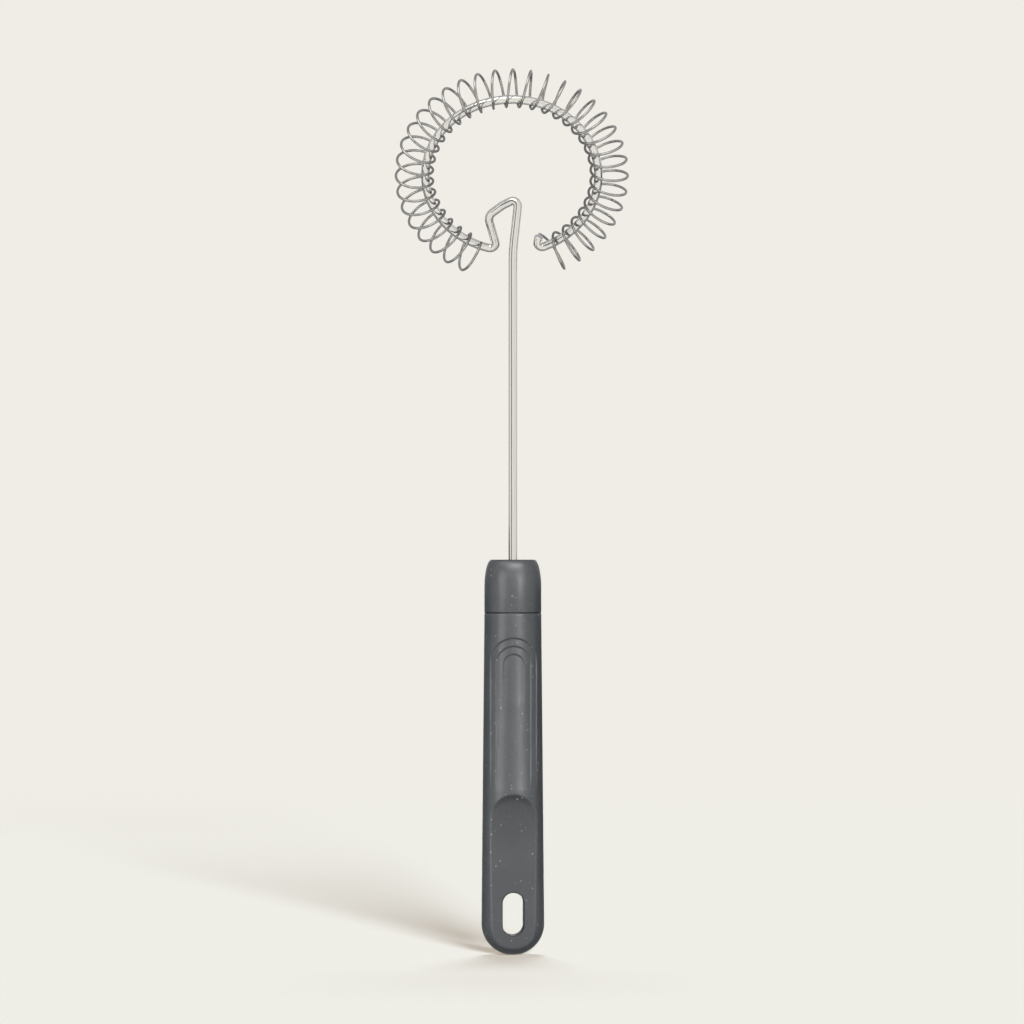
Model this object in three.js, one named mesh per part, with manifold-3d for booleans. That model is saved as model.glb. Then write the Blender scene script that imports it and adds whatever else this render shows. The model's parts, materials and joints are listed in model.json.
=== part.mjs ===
// Gravy whisk: a fine wire coil threaded on a round wire hoop that leans forward,
// on a long shank held in a two-piece moulded handle with a hang slot.
// Millimetres, +Z up along the shank, front of the handle towards -Y, origin at the hang slot.
import * as THREE from 'three';
import { mergeVertices } from 'three/addons/utils/BufferGeometryUtils.js';
import Module from 'manifold-3d';

const wasm = await Module();
wasm.setup();

// Handle: grip below, collar above
const gripLength = 103;
const gripTopWidth = 17.1;
const gripTopDepth = 15;
const gripButtWidth = 18.8;
const gripButtDepth = 11.4;
const buttEdgeHeight = 5;
const collarLength = 15.5;
const collarFlatWidth = 12.9;
const collarDomeHeight = 7.5;
const sectionSquareness = 2.3;

// Spigot of the collar in the socket of the grip
const spigotLength = 18;
const socketWall = 1.3;
const seatGap = 0.3;

// Thumb terraces and flat recess on the grip's front, hang slot through the butt
const terraceWidths = [14.2, 10.8, 6.6];
const terraceTopRun = 8;
const terraceTread = 2.4;
const terraceLength = 41;
const terraceStep = 0.42;
const recessWidth = 14;
const recessTopHeight = 48.3;
const recessFloorDepth = 4.6;
const slotWidth = 6.6;
const slotHeight = 13.1;
const slotButtWall = 5.7;

// Frame wire: foot, tang, shank, crank, hoop and end stub
const frameWireDiameter = 2.6;
const frameBendRadius = 1.65;
const footLength = 4.2;
const shankLength = 108.7;
const shankLeanRun = 16;
const shankLean = 1.65;
const crankRise = 18.59;
const crankShoulderRise = 12.2;
const crankShoulderReach = 9.45;
const crankShoulderRadius = 3;
const hoopRadius = 25.9;
const hoopTilt = 30.5;
const hoopShift = -0.3;
const hoopCrankAngle = 254;
const hoopStubAngle = -66.8;
const stubLength = 4.7;
const stubLean = 26;

// Coil: fine wire wound round the hoop, its inner side resting inside the hoop
const coilWireDiameter = 0.8;
const coilRadius = 5.53;
const coilSeatGap = 0.55;
const coilTurns = 34;
const coilTurnAngle = 9;
const coilMiddleAngle = 90.05;
const coilTailSteps = 3;
const coilStepsPerTurn = 8;

// Number of flats used for round faces
const ovalSides = 36;
const frameWireSides = 8;
const coilWireSides = 5;
const bendSteps = 6;
const hoopSteps = 52;
const arcSegments = 10;

const handleLength = gripLength + collarLength;
const slotCentreHeight = slotButtWall + slotHeight / 2;
const frameWireRadius = frameWireDiameter / 2;
const coilWireRadius = coilWireDiameter / 2;
const boreRadius = frameWireRadius + seatGap;
const terraceDepth = terraceStep * terraceWidths.length;
const socketRadius = Math.min(gripTopWidth, gripTopDepth) / 2 - terraceDepth - socketWall;
const spigotRadius = socketRadius - seatGap;
const spigotBottom = gripLength - spigotLength;
const gripDepthReach = gripTopDepth + gripButtDepth;
const upAxis = new THREE.Vector3(0, 0, 1);

// Solids and geometries
function toSolid(geometry) {
  const bare = new THREE.BufferGeometry();
  bare.setAttribute('position', geometry.getAttribute('position'));
  bare.setIndex(geometry.getIndex());
  const merged = mergeVertices(bare, 1e-4);
  const vertProperties = new Float32Array(merged.getAttribute('position').array);
  const triVerts = new Uint32Array(merged.getIndex().array);
  return new wasm.Manifold(new wasm.Mesh({ numProp: 3, vertProperties, triVerts }));
}

function toGeometry(solid) {
  const mesh = solid.getMesh();
  const geometry = new THREE.BufferGeometry();
  geometry.setAttribute('position', new THREE.BufferAttribute(mesh.vertProperties, 3));
  geometry.setIndex(new THREE.BufferAttribute(mesh.triVerts, 1));
  geometry.computeVertexNormals();
  return geometry;
}

// Closed skin over a stack of rings that have the same number of points, lowest ring first
function loft(rings) {
  const count = rings[0].length;
  const points = rings.flat();
  const centre = (ring) => ring.reduce((sum, p) => sum.add(p), new THREE.Vector3()).divideScalar(count);
  const bottom = points.push(centre(rings[0])) - 1;
  const top = points.push(centre(rings.at(-1))) - 1;
  const lastRing = (rings.length - 1) * count;
  const index = [];
  for (let side = 0; side < count; side++) {
    const next = (side + 1) % count;
    index.push(bottom, next, side, top, lastRing + side, lastRing + next);
    for (let start = 0; start < lastRing; start += count) {
      const above = start + count;
      index.push(start + side, start + next, above + next);
      index.push(start + side, above + next, above + side);
    }
  }
  const geometry = new THREE.BufferGeometry().setFromPoints(points);
  geometry.setIndex(index);
  return geometry;
}

function ovalRing(halfWidth, halfDepth, height) {
  const power = 2 / sectionSquareness;
  return Array.from({ length: ovalSides }, (_, side) => {
    const turn = (side / ovalSides) * 2 * Math.PI;
    const across = Math.sign(Math.cos(turn)) * Math.abs(Math.cos(turn)) ** power;
    const deep = Math.sign(Math.sin(turn)) * Math.abs(Math.sin(turn)) ** power;
    return new THREE.Vector3(halfWidth * across, halfDepth * deep, height);
  });
}

// Outline with straight sides and a round top, standing on the given height
function archShape(width, bottom, top) {
  const radius = width / 2;
  const shape = new THREE.Shape();
  shape.moveTo(-radius, bottom);
  shape.lineTo(radius, bottom);
  shape.absarc(0, top - radius, radius, 0, Math.PI);
  return shape;
}

function slotShape() {
  const radius = slotWidth / 2;
  const shape = new THREE.Shape();
  shape.absarc(0, slotButtWall + slotHeight - radius, radius, 0, Math.PI);
  shape.absarc(0, slotButtWall + radius, radius, Math.PI, 2 * Math.PI);
  return shape;
}

// Prism of an upright outline, reaching forwards from a plane at the given depth
function forwardPrism(shape, depth, planeY) {
  const options = { depth, bevelEnabled: false, curveSegments: arcSegments };
  return toSolid(new THREE.ExtrudeGeometry(shape, options).rotateX(Math.PI / 2).translate(0, planeY, 0));
}

function uprightCylinder(radius, bottom, top) {
  const geometry = new THREE.CylinderGeometry(radius, radius, top - bottom, ovalSides);
  return toSolid(geometry.rotateX(Math.PI / 2).translate(0, 0, (top + bottom) / 2));
}

// Path that passes through chosen stations, with one sweep step between neighbours
class StationPath extends THREE.Curve {
  constructor(stations) {
    super();
    this.stations = stations;
  }

  getPoint(share, target = new THREE.Vector3()) {
    const last = this.stations.length - 1;
    const place = Math.min(Math.max(share, 0), 1) * last;
    const before = Math.min(Math.floor(place), last - 1);
    return target.lerpVectors(this.stations[before], this.stations[before + 1], place - before);
  }

  getPointAt(share, target) {
    return this.getPoint(share, target);
  }

  getTangentAt(share, target) {
    return this.getTangent(share, target);
  }
}

function wireGeometry(stations, radius, sides) {
  const corners = Array.from({ length: sides }, (_, side) => {
    const turn = (side / sides) * 2 * Math.PI;
    return new THREE.Vector2(radius * Math.cos(turn), radius * Math.sin(turn));
  });
  const options = { steps: stations.length - 1, extrudePath: new StationPath(stations) };
  const geometry = new THREE.ExtrudeGeometry(new THREE.Shape(corners), options);
  return toGeometry(toSolid(geometry));
}

// Points of a round bend that replaces the corner between two straight runs
function bend(before, corner, after, radius) {
  const back = before.clone().sub(corner).normalize();
  const ahead = after.clone().sub(corner).normalize();
  const halfAngle = back.angleTo(ahead) / 2;
  const inward = back.clone().add(ahead).normalize();
  const centre = corner.clone().addScaledVector(inward, radius / Math.sin(halfAngle));
  const start = corner.clone().addScaledVector(back, radius / Math.tan(halfAngle)).sub(centre);
  const axis = back.clone().cross(ahead).normalize().negate();
  const sweep = Math.PI - 2 * halfAngle;
  return Array.from({ length: bendSteps + 1 }, (_, step) => (
    start.clone().applyAxisAngle(axis, (sweep * step) / bendSteps).add(centre)
  ));
}

function namedMesh(name, geometry, material) {
  const mesh = new THREE.Mesh(geometry, material);
  mesh.name = name;
  return mesh;
}

const slatePlastic = { color: 0x5a5d60, roughness: 0.55, metalness: 0 };
const polishedSteel = { color: 0xc4c3c0, roughness: 0.22, metalness: 1 };

// Grip: half width and half depth at a height, with a round butt
function gripHalfWidth(height) {
  const buttRadius = gripButtWidth / 2;
  if (height < buttRadius) {
    return Math.sqrt(buttRadius ** 2 - (buttRadius - height) ** 2);
  }
  return THREE.MathUtils.mapLinear(height, buttRadius, gripLength, gripButtWidth, gripTopWidth) / 2;
}

function gripHalfDepth(height) {
  const flank = THREE.MathUtils.mapLinear(height, 0, gripLength, gripButtDepth, gripTopDepth) / 2;
  const below = 1 - Math.min(height / buttEdgeHeight, 1);
  return flank * Math.sqrt(1 - below ** 2);
}

function gripBody() {
  const buttSteps = 8;
  const flankSteps = 9;
  const buttRadius = gripButtWidth / 2;
  const heights = [];
  for (let step = 0.5; step < buttSteps; step++) {
    heights.push(buttRadius * (1 - Math.cos((step / buttSteps) * Math.PI / 2)));
  }
  for (let step = 0; step <= flankSteps; step++) {
    heights.push(THREE.MathUtils.lerp(buttRadius, gripLength - seatGap / 2, step / flankSteps));
  }
  const buttPoint = ovalRing(gripHalfWidth(0), gripHalfDepth(0), 0);
  const rings = heights.map((height) => ovalRing(gripHalfWidth(height), gripHalfDepth(height), height));
  return toSolid(loft([buttPoint, ...rings]));
}

// One terrace: what lies above the sunk surface inside its arch. The step fades out downwards.
function terraceCut(level) {
  const top = gripLength - terraceTopRun - terraceTread * level;
  const fadeHeight = gripLength - terraceTopRun - terraceLength;
  const sink = (height) => (
    terraceStep * (level + 1) * (height - fadeHeight) / (gripLength - terraceTopRun - fadeHeight)
  );
  const ringCount = 7;
  const rings = Array.from({ length: ringCount }, (_, ring) => {
    const height = THREE.MathUtils.mapLinear(ring, 0, ringCount - 1, fadeHeight - terraceTread, gripLength);
    return ovalRing(gripHalfWidth(height) - sink(height), gripHalfDepth(height) - sink(height), height);
  });
  const prism = forwardPrism(archShape(terraceWidths[level], fadeHeight, top), gripDepthReach, 0);
  return prism.subtract(toSolid(loft(rings)));
}

function handleGrip() {
  let solid = gripBody();
  terraceWidths.forEach((_, level) => {
    solid = solid.subtract(terraceCut(level));
  });
  const recess = archShape(recessWidth, -gripDepthReach, recessTopHeight);
  const socketFloor = spigotBottom - seatGap;
  solid = solid.subtract(forwardPrism(recess, gripDepthReach, -recessFloorDepth));
  solid = solid.subtract(forwardPrism(slotShape(), 2 * gripDepthReach, gripDepthReach));
  solid = solid.subtract(uprightCylinder(socketRadius, socketFloor, handleLength));
  return namedMesh('handle_grip', toGeometry(solid), new THREE.MeshStandardMaterial(slatePlastic));
}

// Collar: domed cap with a spigot, bored for the shank and slotted across for the wire's foot
function handleCollar() {
  const domeSteps = 6;
  const inset = (gripTopWidth - collarFlatWidth) / 2;
  const domeStart = handleLength - collarDomeHeight;
  const rings = [ovalRing(gripTopWidth / 2, gripTopDepth / 2, gripLength + seatGap / 2)];
  for (let step = 0; step <= domeSteps; step++) {
    const turn = (step / domeSteps) * Math.PI / 2;
    const pull = inset * (1 - Math.cos(turn));
    const height = domeStart + collarDomeHeight * Math.sin(turn);
    rings.push(ovalRing(gripTopWidth / 2 - pull, gripTopDepth / 2 - pull, height));
  }
  const slotTop = spigotBottom + frameWireDiameter + seatGap;
  const footSlot = new THREE.BoxGeometry(2 * gripTopWidth, 2 * boreRadius, 2 * (slotTop - spigotBottom));
  const solid = toSolid(loft(rings))
    .add(uprightCylinder(spigotRadius, spigotBottom, domeStart))
    .subtract(uprightCylinder(boreRadius, 0, 2 * handleLength))
    .subtract(toSolid(footSlot.translate(0, 0, spigotBottom)));
  return namedMesh('handle_collar', toGeometry(solid), new THREE.MeshStandardMaterial(slatePlastic));
}

// Hoop plane: across, up in the plane, and out of it towards the front and down
const hoopTurn = THREE.MathUtils.degToRad(90 + hoopTilt);
const crankTop = crankRise - hoopRadius;
const hoopCentre = new THREE.Vector3(hoopShift, 0, handleLength + shankLength)
  .sub(new THREE.Vector3(0, crankTop, 0).applyAxisAngle(new THREE.Vector3(1, 0, 0), hoopTurn));

function inHoopPlane(across, up) {
  return new THREE.Vector3(across, up, 0).applyAxisAngle(new THREE.Vector3(1, 0, 0), hoopTurn).add(hoopCentre);
}

function onHoop(degrees, straightRun = 0) {
  const turn = THREE.MathUtils.degToRad(degrees);
  const across = hoopRadius * Math.cos(turn) - straightRun * Math.sin(turn);
  const up = hoopRadius * Math.sin(turn) + straightRun * Math.cos(turn);
  return inHoopPlane(across, up);
}

// Frame wire: one length, bent from the foot in the handle to the stub at the hoop's end
function frameWire() {
  const footHeight = spigotBottom + frameWireRadius;
  const leanStart = handleLength + shankLength - shankLeanRun;
  const footTip = new THREE.Vector3(footLength, 0, footHeight);
  const heel = upAxis.clone().multiplyScalar(footHeight);
  const shankTop = upAxis.clone().multiplyScalar(leanStart);
  const crown = new THREE.Vector3(shankLean, 0, handleLength + shankLength);
  const shoulder = inHoopPlane(shankLean - hoopShift - crankShoulderReach, crankShoulderRise - hoopRadius);
  const cornerRun = frameBendRadius / Math.tan(Math.PI / 6);
  const crankFoot = onHoop(hoopCrankAngle, cornerRun);
  const stubCorner = onHoop(hoopStubAngle, -cornerRun);
  const stubTurn = THREE.MathUtils.degToRad(hoopStubAngle + 180 - stubLean);
  const stubTip = stubCorner.clone().add(
    inHoopPlane(stubLength * Math.cos(stubTurn), stubLength * Math.sin(stubTurn)).sub(hoopCentre),
  );
  const hoopStations = Array.from({ length: hoopSteps + 1 }, (_, step) => (
    onHoop(THREE.MathUtils.lerp(hoopCrankAngle, hoopStubAngle, step / hoopSteps))
  ));
  const stations = [
    footTip,
    ...bend(footTip, heel, shankTop, frameBendRadius),
    ...bend(heel, shankTop, crown, shankLeanRun * 4),
    ...bend(shankTop, crown, shoulder, frameBendRadius),
    ...bend(crown, shoulder, crankFoot, crankShoulderRadius),
    ...bend(shoulder, crankFoot, hoopStations[0], frameBendRadius),
    ...hoopStations,
    ...bend(hoopStations.at(-1), stubCorner, stubTip, frameBendRadius),
    stubTip,
  ];
  const apart = stations.filter((place, i) => i === 0 || place.distanceTo(stations[i - 1]) > coilWireRadius);
  const geometry = wireGeometry(apart, frameWireRadius, frameWireSides);
  return namedMesh('frame_wire', geometry, new THREE.MeshStandardMaterial(polishedSteel));
}

// Coil: an unbroken helix bent round the hoop's centre, drawn in the hoop plane
function coilStations() {
  const ringRadius = hoopRadius - frameWireRadius - coilSeatGap - coilWireRadius + coilRadius;
  const halfSteps = (coilTurns / 2) * coilStepsPerTurn + coilTailSteps;
  return Array.from({ length: 2 * halfSteps + 1 }, (_, step) => {
    const turns = (step - halfSteps) / coilStepsPerTurn;
    const winding = turns * 2 * Math.PI;
    const around = THREE.MathUtils.degToRad(coilMiddleAngle + turns * coilTurnAngle);
    const reach = ringRadius + coilRadius * Math.cos(winding);
    return new THREE.Vector3(
      reach * Math.cos(around),
      reach * Math.sin(around),
      coilRadius * Math.sin(winding),
    );
  });
}

// Least clear space between one turn of the coil and the others, from points along the wire
function leastCoilGap(stations) {
  let least = Infinity;
  stations.forEach((place, i) => {
    stations.slice(i + coilStepsPerTurn / 2).forEach((other) => {
      least = Math.min(least, place.distanceTo(other) - coilWireDiameter);
    });
  });
  return least;
}

function whiskCoil() {
  const stations = coilStations();
  console.log(`whisk_coil: least gap to itself ${leastCoilGap(stations).toFixed(2)} mm`);
  const geometry = wireGeometry(stations, coilWireRadius, coilWireSides);
  const coil = namedMesh('whisk_coil', geometry, new THREE.MeshStandardMaterial(polishedSteel));
  const hoopGroup = new THREE.Group();
  hoopGroup.position.copy(hoopCentre);
  hoopGroup.rotation.x = hoopTurn;
  hoopGroup.add(coil);
  return hoopGroup;
}

const gravyWhisk = new THREE.Group();
gravyWhisk.position.z = -slotCentreHeight;
gravyWhisk.add(handleGrip(), handleCollar(), frameWire(), whiskCoil());

export default gravyWhisk;
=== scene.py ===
# Gravy whisk: a fine wire coil wound round a wire hoop, on a long shank in a two-piece moulded handle.
# Metres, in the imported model's frame: +Z up along the shank, front towards -Y, origin at the hang slot.
import json
import math

import bpy
import numpy as np
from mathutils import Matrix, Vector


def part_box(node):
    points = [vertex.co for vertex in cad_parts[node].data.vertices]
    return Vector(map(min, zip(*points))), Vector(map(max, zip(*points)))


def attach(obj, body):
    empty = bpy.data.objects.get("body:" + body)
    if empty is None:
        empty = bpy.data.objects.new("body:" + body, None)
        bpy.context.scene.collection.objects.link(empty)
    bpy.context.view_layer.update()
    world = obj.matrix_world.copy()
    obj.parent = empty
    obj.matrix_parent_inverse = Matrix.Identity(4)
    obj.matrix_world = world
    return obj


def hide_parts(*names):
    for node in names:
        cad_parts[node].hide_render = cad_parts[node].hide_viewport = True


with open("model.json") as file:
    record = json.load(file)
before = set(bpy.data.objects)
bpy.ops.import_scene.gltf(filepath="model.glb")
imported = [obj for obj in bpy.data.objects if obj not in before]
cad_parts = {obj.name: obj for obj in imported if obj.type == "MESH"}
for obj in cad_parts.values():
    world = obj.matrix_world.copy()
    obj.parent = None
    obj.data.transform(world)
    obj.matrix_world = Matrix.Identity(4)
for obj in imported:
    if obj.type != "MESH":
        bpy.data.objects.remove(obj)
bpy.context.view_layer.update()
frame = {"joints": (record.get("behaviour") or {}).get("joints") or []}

# Frame wire
# One length of polished stainless wire, drawn round and bent cold. Its foot is caught inside the collar,
# and above the handle it makes the straight shank, the crank, the hoop that leans forward and the end stub.
mm = 0.001
butt_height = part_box("handle_grip")[0].z
wire_radius = 1.3 * mm
wire_sides = 28
bend_radius = 1.65 * mm
bend_steps = 18
end_round = 0.35 * mm
end_steps = 5
least_step = 0.05 * mm
sharp_edge_angle = math.radians(40)

foot_length = 4.2 * mm
foot_height = 86.3 * mm
handle_length = 118.5 * mm
shank_length = 108.7 * mm
shank_lean = 1.8 * mm
shank_lean_run = 16 * mm
shank_lean_radius = 64 * mm
crank_shoulder = (-7.2 * mm, -13.6 * mm)
crank_shoulder_radius = 3 * mm
crank_arm_arch = 0.5 * mm
crank_arm_radius = 9 * mm
crank_foot_lift = 0.4 * mm
hoop_radius = 25.9 * mm
hoop_squash = 0.018
hoop_squash_run = 100
hoop_crank_angle = 254
hoop_stub_angle = -66.8
hoop_steps = 220
stub_length = 4.7 * mm
stub_lean = 34
stub_corner_run = 3.2 * mm
stub_bend_radius = 1.42 * mm

coil_slide = frame["joints"][0]
hoop_centre = np.array(coil_slide["pos_m"])
hoop_front = np.array(coil_slide["axis"])
hoop_across = np.array([1.0, 0.0, 0.0])
hoop_up = np.cross(hoop_front, hoop_across)


class Socket:
    """One output of a node. Arithmetic on it adds Math nodes to its tree."""

    def __init__(self, nodes, output):
        self.nodes = nodes
        self.output = output

    def math(self, operation, *values):
        return self.nodes.math(operation, self, *values)

    def __add__(self, other):
        return self.math("ADD", other)

    def __sub__(self, other):
        return self.math("SUBTRACT", other)

    def __rsub__(self, other):
        return self.nodes.math("SUBTRACT", other, self)

    def __mul__(self, other):
        return self.math("MULTIPLY", other)

    def __truediv__(self, other):
        return self.math("DIVIDE", other)

    __radd__ = __add__
    __rmul__ = __mul__


class Nodes:
    """A node tree that is filled from code."""

    def __init__(self, tree):
        self.tree = tree

    def node(self, kind, settings, inputs, output=0):
        """Adds a node with its settings, and values or links for its sockets. Gives one of its outputs."""
        made = self.tree.nodes.new(kind)
        for name, value in settings.items():
            setattr(made, name, value)
        for key, value in inputs.items():
            if isinstance(value, Socket):
                self.tree.links.new(value.output, made.inputs[key])
            else:
                made.inputs[key].default_value = value
        return Socket(self, made.outputs[output]) if made.outputs else made

    def math(self, operation, *values):
        return self.node("ShaderNodeMath", {"operation": operation}, dict(enumerate(values)))

    def mix(self, factor, first, second):
        """Blend of two colours."""
        return self.node("ShaderNodeMix", {"data_type": "RGBA"}, {0: factor, 6: first, 7: second}, 2)

    def ramp(self, value, low, high, low_result=0.0, high_result=1.0):
        """Smooth step of a value between two levels."""
        return self.node("ShaderNodeMapRange", {"interpolation_type": "SMOOTHSTEP"}, {
            "Value": value, "From Min": low, "From Max": high, "To Min": low_result, "To Max": high_result})


def new_finish(name):
    """An empty material and its nodes."""
    material = bpy.data.materials.new(name)
    material.use_nodes = True
    material.node_tree.nodes.clear()
    return material, Nodes(material.node_tree)


def drawn_steel(name, colour, roughness):
    """Polished wire with fine die lines along its length, and painted shade that darkens it where a point
    is marked for it.
    """
    material, nodes = new_finish(name)
    along = nodes.node("ShaderNodeAttribute", {"attribute_name": "along"}, {}, "Fac")
    around = nodes.node("ShaderNodeAttribute", {"attribute_name": "around"}, {}, "Vector")
    parts = nodes.node("ShaderNodeSeparateXYZ", {}, {"Vector": around}).output.node.outputs
    side, front = (Socket(nodes, parts[axis]) for axis in ("X", "Y"))
    line_stretch = 0.012
    line_darkness = 0.88
    painted_inner_shade_share = 0.55
    painted_inner_shade_colour = (0.12, 0.118, 0.115, 1.0)
    stretched = nodes.node("ShaderNodeCombineXYZ", {}, {"X": side, "Y": front, "Z": along * line_stretch})
    die_lines = nodes.node("ShaderNodeTexNoise", {}, {"Vector": stretched, "Scale": 5200.0, "Detail": 3.0})
    place = nodes.node("ShaderNodeTexCoord", {}, {}, "Object")
    clouds = nodes.node("ShaderNodeTexNoise", {}, {"Vector": place, "Scale": 160.0, "Detail": 2.0})
    dull = [channel * line_darkness for channel in colour]
    lined = nodes.mix(nodes.ramp(die_lines, 0.3, 0.75), (*dull, 1.0), (*colour, 1.0))
    # Painted shade: where a point is marked, the colour is darkened towards a dark grey
    painted_inner_shade = nodes.node("ShaderNodeAttribute", {"attribute_name": "painted_inner_shade"}, {}, "Fac")
    tint = nodes.mix(painted_inner_shade * painted_inner_shade_share, lined, painted_inner_shade_colour)
    shine = roughness + (die_lines - 0.5) * 0.06 + (clouds - 0.5) * 0.05
    grooves = nodes.node("ShaderNodeBump", {}, {
        "Height": die_lines, "Strength": 0.015, "Distance": 0.01 * mm})
    steel = nodes.node("ShaderNodeBsdfPrincipled", {}, {
        "Base Color": tint, "Metallic": 1.0, "Roughness": shine, "Normal": grooves})
    nodes.node("ShaderNodeOutputMaterial", {}, {"Surface": steel})
    return material


def wire_tree(name, sizes):
    """A Geometry Nodes tree with a named input for each size. Gives its nodes and those inputs."""
    tree = bpy.data.node_groups.new(name, "GeometryNodeTree")
    tree.interface.new_socket("Geometry", in_out="INPUT", socket_type="NodeSocketGeometry")
    for size, value in sizes.items():
        whole = isinstance(value, int)
        tree.interface.new_socket(
            size, in_out="INPUT", socket_type="NodeSocketInt" if whole else "NodeSocketFloat")
    tree.interface.new_socket("Finish", in_out="INPUT", socket_type="NodeSocketMaterial")
    tree.interface.new_socket("Geometry", in_out="OUTPUT", socket_type="NodeSocketGeometry")
    nodes = Nodes(tree)
    given = nodes.node("NodeGroupInput", {}, {}).output.node.outputs
    return nodes, {socket.name: Socket(nodes, socket) for socket in given if socket.name}


def sweep_wire(nodes, given, path, girth):
    """Ends a wire's tree: a round wire along the path, which keeps the place along and around it."""
    reach = nodes.node("GeometryNodeSplineParameter", {}, {}, "Length")
    marked = nodes.node("GeometryNodeStoreNamedAttribute", {"data_type": "FLOAT"}, {
        "Geometry": path, "Name": "along", "Value": reach})
    circle = nodes.node("GeometryNodeCurvePrimitiveCircle", {"mode": "RADIUS"}, {
        "Resolution": given["Sides"], "Radius": given["Wire Radius"]})
    section = nodes.node("GeometryNodeStoreNamedAttribute", {"data_type": "FLOAT_VECTOR"}, {
        "Geometry": circle, "Name": "around", "Value": nodes.node("GeometryNodeInputPosition", {}, {})})
    wire = nodes.node("GeometryNodeCurveToMesh", {}, {
        "Curve": marked, "Profile Curve": section, "Scale": girth, "Fill Caps": True})
    whole = nodes.node("GeometryNodeRealizeInstances", {}, {"Geometry": wire})
    finished = nodes.node("GeometryNodeSetMaterial", {}, {"Geometry": whole, "Material": given["Finish"]})
    nodes.node("NodeGroupOutput", {}, {"Geometry": finished})


def shown(name, mesh):
    """A piece at the origin, with its place in its mesh."""
    piece = bpy.data.objects.new(name, mesh)
    bpy.context.scene.collection.objects.link(piece)
    return piece


def baked(piece):
    """Turns a piece with modifiers into its plain mesh, smooth but for its true edges."""
    depsgraph = bpy.context.evaluated_depsgraph_get()
    mesh = bpy.data.meshes.new_from_object(piece.evaluated_get(depsgraph), depsgraph=depsgraph)
    piece.modifiers.clear()
    piece.data = mesh
    mesh.shade_smooth()
    mesh.set_sharp_from_angle(angle=sharp_edge_angle)
    return piece


def grown(piece, nodes, sizes, finish):
    """Runs a Geometry Nodes tree on a piece with the given sizes."""
    modifier = piece.modifiers.new("shape", "NODES")
    modifier.node_group = nodes.tree
    values = {**sizes, "Finish": finish}
    for item in nodes.tree.interface.items_tree:
        if item.in_out == "INPUT" and item.name in values:
            modifier[item.identifier] = values[item.name]
    return baked(piece)


def upright(across, height):
    """A point in the handle's middle plane, at a height above the butt."""
    return np.array([across, 0.0, butt_height + height])


def in_hoop(across, up):
    """A point in the plane of the hoop."""
    return hoop_centre + across * hoop_across + up * hoop_up


def on_hoop(degrees, straight_run=0.0):
    """A point on the hoop, or beside it on the tangent there."""
    turn = math.radians(degrees)
    across = hoop_radius * math.cos(turn) - straight_run * math.sin(turn)
    up = hoop_radius * math.sin(turn) + straight_run * math.cos(turn)
    squash = hoop_squash * min((degrees - hoop_stub_angle) / hoop_squash_run, 1.0)
    return in_hoop(across, up * (1 - squash))


def unit(vector):
    """The vector at length 1."""
    return vector / np.linalg.norm(vector)


def bend(before, corner, after, radius):
    """Points of the round bend that replaces a corner of the path."""
    back = unit(before - corner)
    ahead = unit(after - corner)
    half_angle = math.acos(np.dot(back, ahead)) / 2
    inward = unit(back + ahead)
    sideways = unit(ahead - back)
    centre = corner + inward * radius / math.sin(half_angle)
    turns = np.linspace(half_angle - math.pi / 2, math.pi / 2 - half_angle, bend_steps + 1)
    return [centre + radius * (math.sin(turn) * sideways - math.cos(turn) * inward) for turn in turns]


def frame_wire_path():
    """Points from the foot in the handle to the tip of the stub."""
    foot_tip = upright(foot_length, foot_height)
    heel = upright(0.0, foot_height)
    shank_top = upright(0.0, handle_length + shank_length - shank_lean_run)
    crown = upright(shank_lean, handle_length + shank_length)
    shoulder = in_hoop(*crank_shoulder)
    crank_corner_run = bend_radius / math.tan(math.pi / 6)
    arm_middle = (crown + shoulder) / 2
    arm_side = unit(np.cross(hoop_front, shoulder - crown))
    brow = arm_middle - crank_arm_arch * arm_side
    crank_foot = on_hoop(hoop_crank_angle, crank_corner_run) + crank_foot_lift * hoop_up
    hoop = [on_hoop(angle) for angle in np.linspace(hoop_crank_angle, hoop_stub_angle, hoop_steps + 1)]
    stub_corner = on_hoop(hoop_stub_angle, -stub_corner_run)
    stub_turn = math.radians(hoop_stub_angle + 180 - stub_lean)
    stub_aim = math.cos(stub_turn) * hoop_across + math.sin(stub_turn) * hoop_up
    stub_tip = stub_corner + stub_length * stub_aim
    points = [
        foot_tip,
        *bend(foot_tip, heel, shank_top, bend_radius),
        *bend(heel, shank_top, crown, shank_lean_radius),
        *bend(shank_top, crown, brow, bend_radius),
        *bend(crown, brow, shoulder, crank_arm_radius),
        *bend(brow, shoulder, crank_foot, crank_shoulder_radius),
        *bend(shoulder, crank_foot, hoop[0], bend_radius),
        *hoop,
        *bend(hoop[-1], stub_corner, stub_tip, stub_bend_radius),
        stub_tip,
    ]
    apart = [points[0]]
    for point in points[1:]:
        if np.linalg.norm(point - apart[-1]) > least_step:
            apart.append(point)
    return apart


def rounded_end(points):
    """Replaces the last point by a few that let the wire's girth shrink to a rounded end."""
    tip = points[-1]
    back = unit(points[-2] - tip)
    turns = np.linspace(0.0, math.pi / 2, end_steps)
    places = [tip + back * end_round * (1 - math.sin(turn)) for turn in turns]
    girths = [1 - end_round / wire_radius * (1 - math.cos(turn)) for turn in turns]
    return points[:-1] + places, girths


wire_points, end_girths = rounded_end(frame_wire_path())
wire_path = bpy.data.meshes.new("frame_wire_path")
wire_path.from_pydata(wire_points, [(i, i + 1) for i in range(len(wire_points) - 1)], [])
girth_layer = wire_path.attributes.new("girth", "FLOAT", "POINT")
girth_layer.data.foreach_set("value", [1.0] * (len(wire_points) - end_steps) + end_girths)

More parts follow.
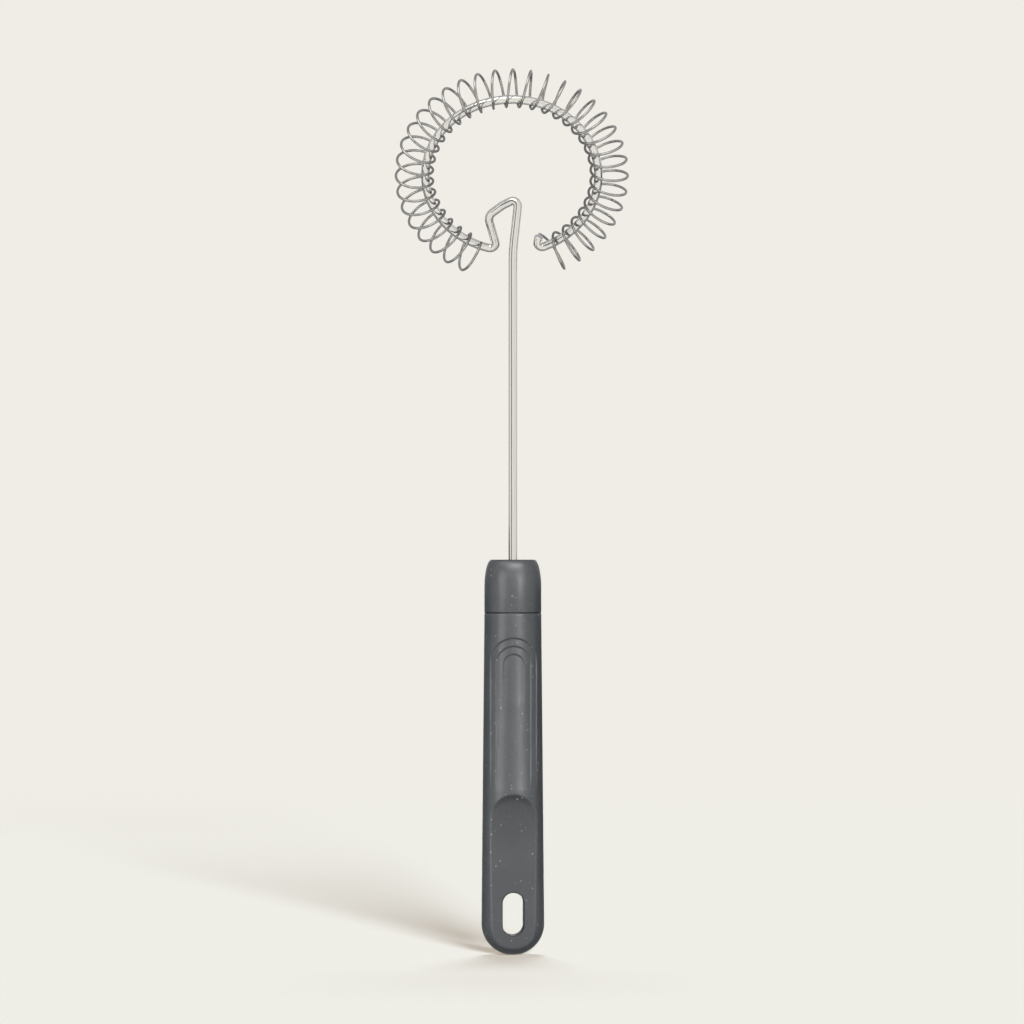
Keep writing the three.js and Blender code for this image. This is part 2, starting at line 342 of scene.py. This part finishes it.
wire_sizes = {"Wire Radius": wire_radius, "Sides": wire_sides}
wire_nodes, wire_given = wire_tree("frame_wire_sweep", wire_sizes)
wire_curve = wire_nodes.node("GeometryNodeMeshToCurve", {}, {"Mesh": wire_given["Geometry"]})
wire_girth = wire_nodes.node("GeometryNodeInputNamedAttribute", {"data_type": "FLOAT"}, {"Name": "girth"})
sweep_wire(wire_nodes, wire_given, wire_curve, wire_girth)

frame_steel = drawn_steel("frame_steel", (0.93, 0.92, 0.9), 0.1)
frame_wire = grown(shown("frame_wire_drawn", wire_path), wire_nodes, wire_sizes, frame_steel)
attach(frame_wire, "handle_and_frame")
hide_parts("frame_wire")

# Whisk coil
# Spring wire wound into one long coil and threaded on the hoop, where its turns fan out.
# It ends across the hoop beside the crank, and its other end is drawn back to catch the tip of the stub.
coil_wire_radius = 0.4 * mm
coil_wire_sides = 12
coil_radius = 5.53 * mm
coil_ring_radius = 29.18 * mm
coil_turn_angle = math.radians(9)
coil_middle_angle = math.radians(90.05)
coil_first_turn = -17.2
coil_last_turn = 17.46
coil_steps_per_turn = 56
coil_hook_steps = 24
coil_hook_start = 0.01
coil_hook_reach = 4.2 * mm
coil_hook_tip = (8.3 * mm, -20.7 * mm, -1.9 * mm)

coil_steps = round((coil_last_turn - coil_first_turn) * coil_steps_per_turn)
coil_sizes = {
    "Wire Radius": coil_wire_radius,
    "Sides": coil_wire_sides,
    "Coil Radius": coil_radius,
    "Ring Radius": coil_ring_radius,
    "Turn Angle": coil_turn_angle,
    "Middle Angle": coil_middle_angle,
    "First Turn": coil_first_turn,
    "Turn Step": (coil_last_turn - coil_first_turn) / coil_steps,
    "Hook Steps": coil_hook_steps,
    "Hook Reach": coil_hook_reach,
    "Hook Across": coil_hook_tip[0],
    "Hook Up": coil_hook_tip[1],
    "Hook Front": coil_hook_tip[2],
    "Points": coil_hook_steps + coil_steps + 1,
}
coil_nodes, coil_given = wire_tree("coil_winding", coil_sizes)


def winding_place(turns):
    """Where the wire is after a number of turns: across and up in the hoop's plane, and in front of it."""
    winding = turns * (2 * math.pi)
    around = coil_given["Middle Angle"] + turns * coil_given["Turn Angle"]
    reach = coil_given["Ring Radius"] + coil_given["Coil Radius"] * winding.math("COSINE")
    return (
        reach * around.math("COSINE"),
        reach * around.math("SINE"),
        coil_given["Coil Radius"] * winding.math("SINE"),
    )


# The hook is a curve that leaves the first turn on its tangent and ends at the hook's tip
coil_index = coil_nodes.node("GeometryNodeInputIndex", {}, {})
coil_step = coil_index - coil_given["Hook Steps"]
coil_turns = coil_given["First Turn"] + coil_step.math("MAXIMUM", 0.0) * coil_given["Turn Step"]
hook_share = (0.0 - coil_step).math("MAXIMUM", 0.0) / coil_given["Hook Steps"]
straight_share = 1.0 - hook_share
first_place = winding_place(coil_given["First Turn"] + 0.0)
inner_place = winding_place(coil_given["First Turn"] + coil_hook_start)
hook_scale = coil_given["Hook Reach"] / (2 * math.pi * coil_hook_start * coil_given["Coil Radius"])
hook_places = []
for wound, start, inner, tip in zip(
        winding_place(coil_turns), first_place, inner_place,
        (coil_given["Hook Across"], coil_given["Hook Up"], coil_given["Hook Front"])):
    middle = start + (start - inner) * hook_scale
    curve = wound * straight_share * straight_share + middle * straight_share * hook_share * 2.0
    hook_places.append(curve + tip * hook_share * hook_share)
coil_place = coil_nodes.node("ShaderNodeCombineXYZ", {}, dict(zip("XYZ", hook_places)))
coil_line = coil_nodes.node("GeometryNodeMeshLine", {}, {"Count": coil_given["Points"]})
coil_curve = coil_nodes.node("GeometryNodeMeshToCurve", {}, {"Mesh": coil_line})
coil_path = coil_nodes.node("GeometryNodeSetPosition", {}, {"Geometry": coil_curve, "Position": coil_place})
hoop_lean = math.atan2(hoop_up[2], hoop_up[1])
coil_leaned = coil_nodes.node("GeometryNodeTransform", {}, {
    "Geometry": coil_path, "Translation": tuple(hoop_centre), "Rotation": (hoop_lean, 0.0, 0.0)})

# Its inner side, next to the hoop, is marked for painted shade, which darkens its colour between the turns
# and the hoop
coil_inward = 0.0 - (coil_turns * (2 * math.pi)).math("COSINE")
coil_painted_inner_shade = coil_nodes.node("GeometryNodeStoreNamedAttribute", {"data_type": "FLOAT"}, {
    "Geometry": coil_leaned, "Name": "painted_inner_shade", "Value": coil_nodes.ramp(coil_inward, 0.45, 0.9)})
sweep_wire(coil_nodes, coil_given, coil_painted_inner_shade, 1.0)

# The coil's steel is painted darker than the frame's, as painted shade for the darker look of its fine
# turns
coil_steel = drawn_steel("coil_steel", (0.52, 0.515, 0.505), 0.14)
coil = grown(shown("coil_wound", bpy.data.meshes.new("coil")), coil_nodes, coil_sizes, coil_steel)
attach(coil, "coil")
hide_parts("whisk_coil")

# Handle collar
# Domed cap moulded in slate-grey plastic with pale flecks, bored for the shank and slotted for its foot.
# Its spigot is pressed into the grip, which leaves the thin parting line round the handle.
section_squareness = 2.3
collar_half_width = 8.55 * mm
collar_half_depth = 7.5 * mm
collar_bottom = 102.8 * mm
collar_lip_bottom = 102.48 * mm
collar_lip_side_inset = 0.1 * mm
collar_lip_front_inset = 0.3 * mm
collar_dome_start = 110.6 * mm
collar_dome_inset = 2.1 * mm
collar_dome_steps = 28
edge_round = 0.14 * mm
edge_steps = 5
spigot_radius = 4.64 * mm
spigot_bottom = 85 * mm
bore_radius = 1.6 * mm
foot_slot_height = 2.9 * mm
collar_columns = 176
gap_painted_shade = 2.0


def oval_ring(half_width, half_depth, height, turns, squareness=section_squareness):
    """Points of a rounded section of the handle at a height above the butt."""
    power = 2 / squareness
    across = half_width * np.sign(np.cos(turns)) * np.abs(np.cos(turns)) ** power
    deep = half_depth * np.sign(np.sin(turns)) * np.abs(np.sin(turns)) ** power
    return np.column_stack([across, deep, np.full(len(turns), butt_height + height)])


def round_ring(radius, height, turns):
    """Points of a circle round the shank at a height above the butt."""
    return oval_ring(radius, radius, height, turns, 2)


def skin(name, rings, closed):
    """A mesh over a stack of rings, which closes on itself or is closed at both ends."""
    columns = len(rings[0])
    points = np.vstack(rings)
    start = np.arange(0, len(points) if closed else len(points) - columns, columns)[:, None]
    side = np.arange(columns)[None, :]
    after = (side + 1) % columns
    above = (start + columns) % len(points)
    quads = np.stack([start + side, start + after, above + after, above + side], -1).reshape(-1, 4).tolist()
    points = points.tolist()
    if not closed:
        top = len(points) - columns
        quads.append(list(range(columns))[::-1])
        quads.append(list(range(top, top + columns)))
    mesh = bpy.data.meshes.new(name)
    mesh.from_pydata(points, [], quads)
    mesh.validate()
    return mesh


def cut(piece, name, tool_mesh):
    """Cuts a tool's shape out of a piece."""
    tool = shown(name, tool_mesh)
    modifier = piece.modifiers.new(name, "BOOLEAN")
    modifier.operation = "DIFFERENCE"
    modifier.solver = "EXACT"
    modifier.object = tool
    baked(piece)
    bpy.data.objects.remove(tool)


def slate_plastic():
    """Matte moulded plastic: cloudy slate grey with scattered pale flecks and a faint grain, duller and
    painted darker as shade where its points are marked.
    """
    material, nodes = new_finish("slate_plastic")
    place = nodes.node("ShaderNodeTexCoord", {}, {}, "Object")
    clouds = nodes.node("ShaderNodeTexNoise", {}, {"Vector": place, "Scale": 120.0, "Detail": 4.0})
    mottle = nodes.node("ShaderNodeTexNoise", {}, {"Vector": place, "Scale": 900.0, "Detail": 3.0})
    grain = nodes.node("ShaderNodeTexNoise", {}, {"Vector": place, "Scale": 5200.0, "Detail": 2.0})
    fleck_spacing = 1.55 * mm
    fleck_largest = 0.38 * mm
    fleck_core = 0.3
    fleck_raggedness = 0.35 * mm
    wobble = nodes.node("ShaderNodeTexNoise", {}, {
        "Vector": place, "Scale": 2600.0, "Detail": 1.0}, "Color")
    shift = nodes.node("ShaderNodeVectorMath", {"operation": "SCALE"}, {
        0: wobble, "Scale": fleck_raggedness})
    shaken = nodes.node("ShaderNodeVectorMath", {"operation": "ADD"}, {0: place, 1: shift})
    cells = {"Vector": shaken, "Scale": 1 / fleck_spacing}
    distance = nodes.node("ShaderNodeTexVoronoi", {}, cells, "Distance")
    cell_colour = Socket(nodes, distance.output.node.outputs["Color"])
    lottery = nodes.node("ShaderNodeSeparateColor", {}, {"Color": cell_colour})
    fleck_radius = lottery * (fleck_largest / fleck_spacing)
    fleck = nodes.ramp(distance, fleck_radius * fleck_core, fleck_radius, 1.0, 0.0)
    slate_dark = (0.058, 0.063, 0.068, 1.0)
    slate_pale = (0.068, 0.073, 0.078, 1.0)
    mottle_colour = (0.09, 0.095, 0.099, 1.0)
    mottle_share = 0.3
    fleck_colour = (0.42, 0.42, 0.4, 1.0)
    fleck_share = 0.5
    black = (0.0, 0.0, 0.0, 1.0)
    dull_and_shade_darkness = 0.45
    base = nodes.mix(nodes.ramp(clouds, 0.3, 0.7), slate_dark, slate_pale)
    mottled = nodes.mix(nodes.ramp(mottle, 0.42, 0.75) * mottle_share, base, mottle_colour)
    matte_and_shade = nodes.node("ShaderNodeAttribute", {"attribute_name": "matte_and_shade"}, {}, "Fac")
    # Painted shade: the colour darkens where a point is marked, most in the parting-line gap, the recess
    # and the hang slot's walls
    shaded = nodes.mix(matte_and_shade * dull_and_shade_darkness, mottled, black)
    flecked = nodes.mix(fleck * fleck_share, shaded, fleck_colour)
    roughness = 0.33 + matte_and_shade.math("MINIMUM", 0.5) * 0.56 + (mottle - 0.5) * 0.1 - fleck * 0.06
    bumps = nodes.node("ShaderNodeBump", {}, {
        "Height": grain + fleck * 0.6, "Strength": 0.12, "Distance": 0.03 * mm})
    plastic = nodes.node("ShaderNodeBsdfPrincipled", {}, {
        "Base Color": flecked, "Roughness": roughness, "IOR": 1.5, "Normal": bumps})
    nodes.node("ShaderNodeOutputMaterial", {}, {"Surface": plastic})
    return material


def mark_dull_and_shade(piece, shares):
    """Keeps how dull the finish is and how much painted shade darkens it at each point: up to 1 in the
    open, more in a gap.
    """
    layer = piece.data.attributes.new("matte_and_shade", "FLOAT", "POINT")
    layer.data.foreach_set("value", np.asarray(shares, dtype=np.float32))


collar_turns = np.linspace(0, 2 * math.pi, collar_columns, endpoint=False)
quarter = np.linspace(0, math.pi / 2, edge_steps)


def collar_ring(inset, height):
    """A section of the collar, set in from its full size."""
    return oval_ring(collar_half_width - inset, collar_half_depth - inset, height, collar_turns)


collar_rings = [round_ring(spigot_radius, collar_lip_bottom, collar_turns)]
for height in (collar_lip_bottom, collar_bottom):
    collar_rings.append(oval_ring(
        collar_half_width - collar_lip_side_inset, collar_half_depth - collar_lip_front_inset,
        height, collar_turns))
for turn in quarter:
    inset = edge_round * (1 - math.sin(turn))
    height = collar_bottom + edge_round * (1 - math.cos(turn))
    collar_rings.append(collar_ring(inset, height))
for turn in np.linspace(0, math.pi / 2, collar_dome_steps):
    inset = collar_dome_inset * (1 - math.cos(turn))
    height = collar_dome_start + (handle_length - collar_dome_start) * math.sin(turn)
    collar_rings.append(collar_ring(inset, height))
for turn in quarter:
    radius = bore_radius + edge_round * (1 - math.sin(turn))
    height = handle_length - edge_round * (1 - math.cos(turn))
    collar_rings.append(round_ring(radius, height, collar_turns))
collar_rings.append(round_ring(bore_radius, spigot_bottom, collar_turns))
collar_rings.append(round_ring(spigot_radius - edge_round, spigot_bottom, collar_turns))
collar_rings.append(round_ring(spigot_radius, spigot_bottom + edge_round, collar_turns))

foot_slot = [
    np.array([[x, y, butt_height + spigot_bottom + z] for x, y in (
        (-collar_half_width, -bore_radius), (collar_half_width, -bore_radius),
        (collar_half_width, bore_radius), (-collar_half_width, bore_radius))])
    for z in (-foot_slot_height, foot_slot_height)
]
plastic = slate_plastic()
collar = shown("collar_moulding", skin("collar", collar_rings, True))
cut(collar, "foot_slot", skin("foot_slot", foot_slot, False))
collar.data.materials.append(plastic)

# Its flat top is dull, and the gap that makes the parting line is painted dark as shade
collar_heights = np.array([point.co.z - butt_height for point in collar.data.vertices])
collar_dull_and_shade = np.where(collar_heights > handle_length - edge_round, 1.0, 0.0)
collar_dull_and_shade[collar_heights < collar_bottom + edge_round / 2] = gap_painted_shade
mark_dull_and_shade(collar, collar_dull_and_shade)
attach(collar, "handle_and_frame")
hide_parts("handle_collar")

# Handle grip
# One moulding of the same slate-grey plastic, with a socket in its top for the collar's spigot.
# Its front has three shallow thumb terraces and a flat recess, and its butt has a slot to hang it by.
grip_length = 103 * mm
grip_top = 102.45 * mm
grip_butt_half_width = 9.4 * mm
grip_butt_half_depth = 5.7 * mm
butt_edge_height = 5 * mm
grip_turn = math.radians(2.4)
socket_radius = 4.94 * mm
socket_floor = 84.7 * mm

terrace_widths = (14.2 * mm, 10.8 * mm, 6.6 * mm)
terrace_top = 95.3 * mm
terrace_tread = 2.4 * mm
terrace_fades = (50 * mm, 50 * mm, 76 * mm)
terrace_fade_power = 0.5
terrace_step = 0.36 * mm
terrace_wall = 0.5 * mm

recess_width = 14 * mm
recess_top = 48.3 * mm
recess_plane = -4.6 * mm
recess_scoop_run = 17 * mm
recess_lip_run = 2.4 * mm
recess_lip_share = 0.3
recess_edge = 0.3 * mm
recess_back = (recess_plane - recess_edge) / 2
recess_dull_and_shade_depth = 0.3 * mm

slot_radius = 3.2 * mm
slot_bottom = 5.8 * mm
slot_top = 18.8 * mm
slot_round = 0.4 * mm
slot_steps = 24
slot_wall_reach = 0.05 * mm
slot_wall_painted_shade = 1.7

front_columns = 190
back_columns = 56
butt_rows = (0.002 * mm, 0.01 * mm, 0.03 * mm, 0.08 * mm, 0.17 * mm)
row_spacings = (
    (0.3 * mm, 4.5 * mm, 0.25 * mm),
    (4.5 * mm, 20.2 * mm, 0.15 * mm),
    (20.2 * mm, 42 * mm, 0.8 * mm),
    (42 * mm, 49.4 * mm, 0.14 * mm),
    (49.4 * mm, 85.5 * mm, 0.9 * mm),
    (85.5 * mm, 96 * mm, 0.14 * mm),
    (96 * mm, grip_top - edge_round, 0.7 * mm),
)


def smooth_step(low, high, value):
    """0 at the low value, 1 at the high one and a smooth rise between them."""
    share = np.clip((value - low) / (high - low), 0, 1)
    return share * share * (3 - 2 * share)


def grip_half_width(height):
    """Half the grip's width: a half-round butt below a long taper."""
    low = np.clip(1 - height / grip_butt_half_width, 0, 1)
    taper = np.clip((height - grip_butt_half_width) / (grip_length - grip_butt_half_width), 0, 1)
    flank = grip_butt_half_width + taper * (collar_half_width - grip_butt_half_width)
    return flank * np.sqrt(1 - low * low)


def grip_half_depth(height):
    """Half the grip's depth: a rounded edge at the butt below a long taper."""
    low = np.clip(1 - height / butt_edge_height, 0, 1)
    flank = grip_butt_half_depth + height / grip_length * (collar_half_depth - grip_butt_half_depth)
    return flank * np.sqrt(1 - low * low)


def inside_arch(across, height, width, top):
    """Distance inside an arch with straight sides and a round top."""
    radius = width / 2
    above = np.maximum(height - (top - radius), 0)
    return radius - np.hypot(across, above)


def outside_slot(across, height):
    """Distance outside the hang slot's outline."""
    above = np.maximum(height - (slot_top - slot_radius), 0)
    below = np.minimum(height - (slot_bottom + slot_radius), 0)
    return np.hypot(across, above + below) - slot_radius


def slot_dip(across, height):
    """How far the face rolls in beside the slot."""
    short = np.clip(1 - outside_slot(across, height) / slot_round, 0, 1)
    return slot_round * (1 - np.sqrt(1 - short * short))


def front_depth(half_depth, share):
    """Depth of the plain front at a share of its half width."""
    return -half_depth * np.maximum(1 - np.abs(share) ** section_squareness, 0) ** (1 / section_squareness)


def terraced_front(across, height):
    """Depth of the grip's front with its terraces."""
    sink = np.zeros_like(across)
    for level, (width, fade_height) in enumerate(zip(terrace_widths, terrace_fades)):
        inside = inside_arch(across, height, width, terrace_top - level * terrace_tread)
        fade = np.clip((height - fade_height) / (terrace_top - fade_height), 0, 1) ** terrace_fade_power
        sink += terrace_step * fade * smooth_step(0, terrace_wall, inside)
    half_width = grip_half_width(height) - sink
    return front_depth(grip_half_depth(height) - sink, across / np.maximum(half_width, mm))


def carved_front(across, height):
    """Depth of the grip's front with its terraces, recess and rolled slot edge."""
    face = terraced_front(across, height)
    radius = recess_width / 2
    arch_height = recess_top - radius + np.sqrt(np.maximum(radius ** 2 - across ** 2, 0))
    below = arch_height - height
    lip = np.clip(1 - below / recess_lip_run, 0, 1) ** 2
    ramp = np.clip(1 - below / recess_scoop_run, 0, 1) ** 2
    scoop = recess_lip_share * lip + (1 - recess_lip_share) * ramp
    floor = recess_plane + scoop * np.minimum(face - recess_plane, 0)
    within = (height < arch_height) & (np.abs(across) < radius)
    share = np.clip(0.5 + 0.5 * (floor - face) / recess_edge, 0, 1)
    cut_face = face * (1 - share) + floor * share + recess_edge * share * (1 - share)
    return np.where(within, cut_face, face) + slot_dip(across, height)


def turned(points, turn=grip_turn):
    """Points of the grip, turned on the collar a little to the right."""
    across, deep, height = points.T
    return np.column_stack([
        across * math.cos(turn) - deep * math.sin(turn),
        across * math.sin(turn) + deep * math.cos(turn),
        height,
    ])


front_turns = np.linspace(math.pi, 2 * math.pi, front_columns, endpoint=False)
back_turns = np.linspace(0, math.pi, back_columns, endpoint=False)
grip_turns = np.concatenate([front_turns, back_turns])
grip_rows = [butt_rows]
for low, high, spacing in row_spacings:
    grip_rows.append(np.linspace(low, high, round((high - low) / spacing), endpoint=False))

grip_rings = []
for height in np.concatenate(grip_rows):
    ring = oval_ring(grip_half_width(height), grip_half_depth(height), height, grip_turns)
    front = ring[:front_columns]
    front[:, 1] = np.minimum(carved_front(front[:, 0], np.full(front_columns, height)), 0)
    back = ring[front_columns:]
    back[:, 1] -= np.minimum(slot_dip(back[:, 0], height), back[:, 1])
    grip_rings.append(ring)
for turn in quarter:
    inset = edge_round * (1 - math.cos(turn))
    height = grip_top - edge_round * (1 - math.sin(turn))
    grip_rings.append(oval_ring(
        grip_half_width(height) - inset, grip_half_depth(height) - inset, height, grip_turns))
grip_rings.append(round_ring(socket_radius, grip_top, grip_turns))
grip_rings.append(round_ring(socket_radius, socket_floor, grip_turns))

slot_arch = slot_top - slot_radius
slot_outline = [
    (slot_radius * math.cos(turn), slot_arch + slot_radius * math.sin(turn))
    for turn in np.linspace(0, math.pi, slot_steps)
]
slot_outline += [(-x, slot_bottom + slot_top - z) for x, z in slot_outline]
slot_tool = [
    turned(np.array([[x, y, butt_height + z] for x, z in slot_outline]))
    for y in (2 * grip_butt_half_depth, -2 * grip_butt_half_depth)
]
grip = shown("grip_moulding", skin("grip", [turned(ring) for ring in grip_rings], False))
cut(grip, "hang_slot", skin("hang_slot", slot_tool, False))
grip.data.materials.append(plastic)

# The recess has a duller finish than the rest of the grip and is painted darker as shade, most of all under
# its arch
grip_points = np.empty(3 * len(grip.data.vertices), dtype=np.float32)
grip.data.vertices.foreach_get("co", grip_points)
across, deep, level = turned(grip_points.reshape(-1, 3), -grip_turn).T
heights = level - butt_height
sunk = deep - terraced_front(across, heights)
in_recess = (heights < recess_top) & (deep < recess_back)
under_arch = np.clip((heights - recess_top + recess_scoop_run) / recess_scoop_run, 0, 1)
grip_dull_and_shade = in_recess * smooth_step(0, recess_dull_and_shade_depth, sunk) * (1 + under_arch) / 2
# The hang slot's walls are painted dark as shade
grip_dull_and_shade[outside_slot(across, heights) < slot_wall_reach] = slot_wall_painted_shade
mark_dull_and_shade(grip, grip_dull_and_shade)
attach(grip, "handle_and_frame")
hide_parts("handle_grip")

# Studio
# A pale paper floor runs into a pale backdrop. Soft boxes in front, above and behind light the handle,
# a soft sun lights the whole whisk, and two suns light only the floor, where they lay its shadows.
# Cards that only reflections see draw thin dark lines on the polished wires.
backdrop_colour = (0.871, 0.847, 0.791)
floor_colour = (0.855, 0.826, 0.742)
floor_bounce = (0.25, 0.245, 0.23)
floor_glow = (1.0, 0.55, 0.2)
floor_glow_share = 0.2
ambient_colour = (1.0, 0.99, 0.97)
ambient_level = 0.07
floor_reach = 30.0
floor_fade = (0.5, 1.8)
fibre_colour = (0.8, 0.78, 0.73)
fibre_share = 0.06


def seen_ray(nodes):
    """1 for rays from the camera, a reflection or a transmission."""
    path = nodes.node("ShaderNodeLightPath", {}, {}).output.node.outputs
    camera, glossy, through = (Socket(nodes, path[kind]) for kind in (
        "Is Camera Ray", "Is Glossy Ray", "Is Transmission Ray"))
    return (camera + glossy + through).math("MINIMUM", 1.0)


def paper_floor():
    """Matte paper that fades into the backdrop. Its shadows are warm, and it throws little light back."""
    material, nodes = new_finish("pale_paper")
    place = nodes.node("ShaderNodeTexCoord", {}, {}, "Object")
    fibres = nodes.node("ShaderNodeTexNoise", {}, {"Vector": place, "Scale": 60.0, "Detail": 4.0})
    tint = nodes.mix(fibres * fibre_share, (*floor_colour, 1.0), (*fibre_colour, 1.0))
    away = nodes.node("ShaderNodeVectorMath", {"operation": "LENGTH"}, {0: place}, "Value")
    seen = seen_ray(nodes)
    shade = nodes.mix(seen, (*floor_bounce, 1.0), tint)
    paper = nodes.node("ShaderNodeBsdfPrincipled", {}, {
        "Base Color": shade, "Roughness": 1.0, "Specular IOR Level": 0.0})
    glow = nodes.node("ShaderNodeEmission", {}, {"Color": (*floor_glow, 1.0), "Strength": 1.0})
    near = nodes.node("ShaderNodeMixShader", {}, {0: seen * floor_glow_share, 1: paper, 2: glow})
    distant = nodes.node("ShaderNodeEmission", {}, {"Color": (*backdrop_colour, 1.0), "Strength": 1.0})
    far = nodes.ramp(away, *floor_fade) * seen
    surface = nodes.node("ShaderNodeMixShader", {}, {0: far, 1: near, 2: distant})
    nodes.node("ShaderNodeOutputMaterial", {}, {"Surface": surface})
    return material


floor_mesh = bpy.data.meshes.new("floor")
floor_mesh.from_pydata(
    [(x * floor_reach, y * floor_reach, butt_height) for x, y in ((-1, -1), (1, -1), (1, 1), (-1, 1))],
    [], [(0, 1, 2, 3)])
floor_mesh.materials.append(paper_floor())
floor = shown("floor", floor_mesh)

world = bpy.data.worlds.new("studio")
world.use_nodes = True
world.node_tree.nodes.clear()
sky = Nodes(world.node_tree)
ambient = sky.node("ShaderNodeBackground", {}, {"Color": (*ambient_colour, 1.0), "Strength": ambient_level})
backdrop = sky.node("ShaderNodeBackground", {}, {"Color": (*backdrop_colour, 1.0), "Strength": 1.0})
both = sky.node("ShaderNodeMixShader", {}, {0: seen_ray(sky), 1: ambient, 2: backdrop})
sky.node("ShaderNodeOutputWorld", {}, {"Surface": both})
bpy.context.scene.world = world

lamp_distance = 4.0
lamp_aim_height = 0.1


def lamp(name, kind, azimuth, elevation, strength):
    """A lamp that faces the whisk's middle: azimuth from the front to the right, elevation above level."""
    light = bpy.data.lights.new(name, kind)
    light.energy = strength
    turn = math.radians(azimuth)
    lift = math.radians(elevation)
    holder = bpy.data.objects.new(name, light)
    holder.location = (
        lamp_distance * math.cos(lift) * math.sin(turn),
        -lamp_distance * math.cos(lift) * math.cos(turn),
        lamp_aim_height + lamp_distance * math.sin(lift),
    )
    holder.rotation_euler = (math.pi / 2 - lift, 0, turn)
    holder.visible_camera = False
    bpy.context.scene.collection.objects.link(holder)
    return holder


def soft_box(name, azimuth, elevation, watts, width, height):
    """A rectangular lamp, with its width and height in metres."""
    holder = lamp(name, "AREA", azimuth, elevation, watts)
    holder.data.shape = "RECTANGLE"
    holder.data.size = width
    holder.data.size_y = height
    return holder


def soft_sun(name, azimuth, elevation, strength, spread):
    """A lamp from far away, whose spread in degrees softens its shadows."""
    holder = lamp(name, "SUN", azimuth, elevation, strength)
    holder.data.angle = math.radians(spread)
    return holder


def dark_card(name, points, faces, brightness):
    """A dark card that only reflections see."""
    material, nodes = new_finish(name)
    grey = (brightness, brightness, brightness, 1.0)
    shine = nodes.node("ShaderNodeEmission", {}, {"Color": grey, "Strength": 1.0})
    nodes.node("ShaderNodeOutputMaterial", {}, {"Surface": shine})
    mesh = bpy.data.meshes.new(name)
    mesh.from_pydata(points, [], faces)
    mesh.materials.append(material)
    card = shown(name, mesh)
    card.visible_camera = False
    card.visible_diffuse = False
    card.visible_transmission = False
    card.visible_shadow = False


# The cards are a tunnel behind the whisk, and two parts of a ring round the lens
tunnel_side = 0.5
tunnel_top = 0.75
tunnel_front = -0.05
tunnel_back = 2.0
tunnel_low = butt_height + 0.5 * mm
tunnel_middle = 0.105
tunnel = [
    (-tunnel_side, tunnel_low), (tunnel_side, tunnel_low), (tunnel_side, tunnel_middle),
    (tunnel_side, tunnel_top), (-tunnel_side, tunnel_top), (-tunnel_side, tunnel_middle)]
tunnel_cards = (
    ("card_below", 0.3), ("card_right_low", 0.04), ("card_right_high", 0.58),
    ("card_above", 0.45), ("card_left_high", 0.5), ("card_left_low", 0.12))
for side, (name, brightness) in enumerate(tunnel_cards):
    (x0, z0), (x1, z1) = tunnel[side], tunnel[(side + 1) % len(tunnel)]
    dark_card(name, [
        (x0, tunnel_front, z0), (x1, tunnel_front, z1), (x1, tunnel_back, z1), (x0, tunnel_back, z0),
    ], [(0, 1, 2, 3)], brightness)
ring_distance = 1.0
ring_height = 0.2
ring_inner = ring_distance * math.tan(math.radians(22))
ring_outer = ring_distance * math.tan(math.radians(48))
ring_steps = 24
ring_cards = (("card_ring", 125, 310, 0.2), ("card_ring_right", -50, 50, 0.7))
for name, first_turn, last_turn, brightness in ring_cards:
    turns = np.radians(np.linspace(first_turn, last_turn, ring_steps + 1))
    points = [
        (radius * math.cos(turn), -ring_distance, ring_height + radius * math.sin(turn))
        for turn in turns for radius in (ring_inner, ring_outer)]
    dark_card(name, points, [(i, i + 1, i + 3, i + 2) for i in range(0, 2 * ring_steps, 2)], brightness)


def lit_only(lamps, name, pieces):
    """Keeps the light of some lamps to some pieces, as a named group."""
    group = bpy.data.collections.new(name)
    for piece in pieces:
        group.objects.link(piece)
    for holder in lamps:
        holder.light_linking.receiver_collection = group


strip_left = soft_box("strip_left", azimuth=-30, elevation=5, watts=69, width=0.7, height=1.2)
strip_right = soft_box("strip_right", azimuth=20.5, elevation=5, watts=56, width=0.95, height=1.2)
top_box = soft_box("top_box", azimuth=11, elevation=38, watts=74, width=2.0, height=1.0)
back_box = soft_box("back_box", azimuth=180, elevation=12, watts=60, width=3.6, height=2.4)
lit_only((strip_left, strip_right, top_box, back_box), "handle_pieces", (collar, grip))
above = soft_sun("above", azimuth=-25, elevation=52, strength=0.7, spread=45)
lit_only((above,), "whisk_pieces", (collar, grip, frame_wire, coil))
floor_lamps = (
    soft_sun("floor_front", azimuth=11, elevation=11.5, strength=11.0, spread=13),
    soft_sun("floor_back", azimuth=176, elevation=66, strength=1.75, spread=18))
floor_lamp_colour = (0.745, 0.873, 1.0)
for holder in floor_lamps:
    holder.data.color = floor_lamp_colour
lit_only(floor_lamps, "floor_only", (floor,))

camera_place = (-0.25 * mm, -1800 * mm, 120.56 * mm)
camera_data = bpy.data.cameras.new("photo_view")
camera_data.sensor_width = 36
camera_data.lens = 210.94
camera = bpy.data.objects.new("photo_view", camera_data)
camera.location = camera_place
camera.rotation_euler = (math.pi / 2, 0, 0)
bpy.context.scene.collection.objects.link(camera)
bpy.context.scene.camera = camera
bpy.context.scene.view_settings.view_transform = "Standard"
